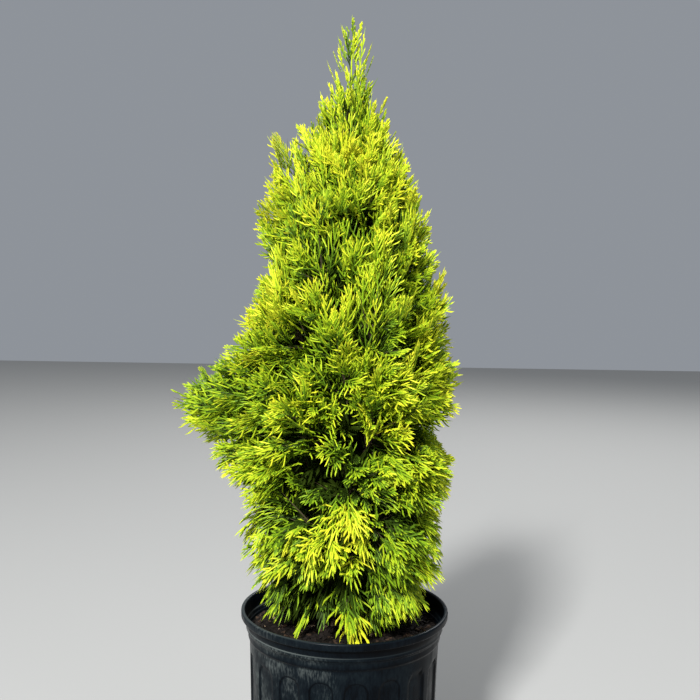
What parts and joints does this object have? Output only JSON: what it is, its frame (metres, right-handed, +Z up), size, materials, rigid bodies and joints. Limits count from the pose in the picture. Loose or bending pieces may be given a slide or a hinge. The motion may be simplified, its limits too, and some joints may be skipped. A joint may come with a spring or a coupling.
{
  "type": "potted conifer",
  "caption": "Golden thuja, a dense cone of flat fanned sprays with a pointed leader, rooted in a round black nursery pot",
  "frame": {"origin": "centre of the pot's flat underside, on the ground", "axes": "+Z up along the pot's axis and the trunk, -Y the front seen in the picture, +X the plant's right as seen there"},
  "size_m": [0.4093, 0.3495, 1.1202],
  "materials": {
    "pot_plastic": "black moulded plastic with a bluish grey sheen, scuffed and dusty",
    "soil": "dark loose potting soil with bark litter",
    "bark": "fibrous red-brown bark",
    "foliage": "flat sprays of scale leaves, golden at the tips and deeper green inside"
  },
  "bodies": {
    "root": {"pot": "pot_plastic", "soil": "soil", "trunk": "bark", "belly_bough_1": "bark", "belly_bough_2": "bark", "belly_bough_3": "bark", "belly_bough_4": "bark", "belly_bough_5": "bark", "belly_bough_6": "bark", "waist_bough_1": "bark", "waist_bough_2": "bark", "waist_bough_3": "bark", "waist_bough_4": "bark", "waist_bough_5": "bark", "waist_bough_6": "bark", "skirt_foliage_1": "foliage", "skirt_foliage_2": "foliage", "skirt_foliage_3": "foliage", "skirt_foliage_4": "foliage", "skirt_foliage_5": "foliage", "skirt_foliage_6": "foliage", "lower_foliage_1": "foliage", "lower_foliage_2": "foliage", "lower_foliage_3": "foliage", "lower_foliage_4": "foliage", "lower_foliage_5": "foliage", "lower_foliage_6": "foliage", "belly_foliage_1": "foliage", "belly_foliage_2": "foliage", "belly_foliage_3": "foliage", "belly_foliage_4": "foliage", "belly_foliage_5": "foliage", "belly_foliage_6": "foliage", "waist_foliage_1": "foliage", "waist_foliage_2": "foliage", "waist_foliage_3": "foliage", "waist_foliage_4": "foliage", "waist_foliage_5": "foliage", "waist_foliage_6": "foliage", "chest_foliage_1": "foliage", "chest_foliage_2": "foliage", "chest_foliage_3": "foliage", "chest_foliage_4": "foliage", "chest_foliage_5": "foliage", "shoulder_foliage_1": "foliage", "shoulder_foliage_2": "foliage", "shoulder_foliage_3": "foliage", "shoulder_foliage_4": "foliage", "shoulder_foliage_5": "foliage", "neck_foliage_1": "foliage", "neck_foliage_2": "foliage", "neck_foliage_3": "foliage", "neck_foliage_4": "foliage", "upper_foliage_1": "foliage", "upper_foliage_2": "foliage", "upper_foliage_3": "foliage", "crest_foliage_1": "foliage", "crest_foliage_2": "foliage", "crest_foliage_3": "foliage", "leader_foliage": "foliage"}
  },
  "joints": []
}
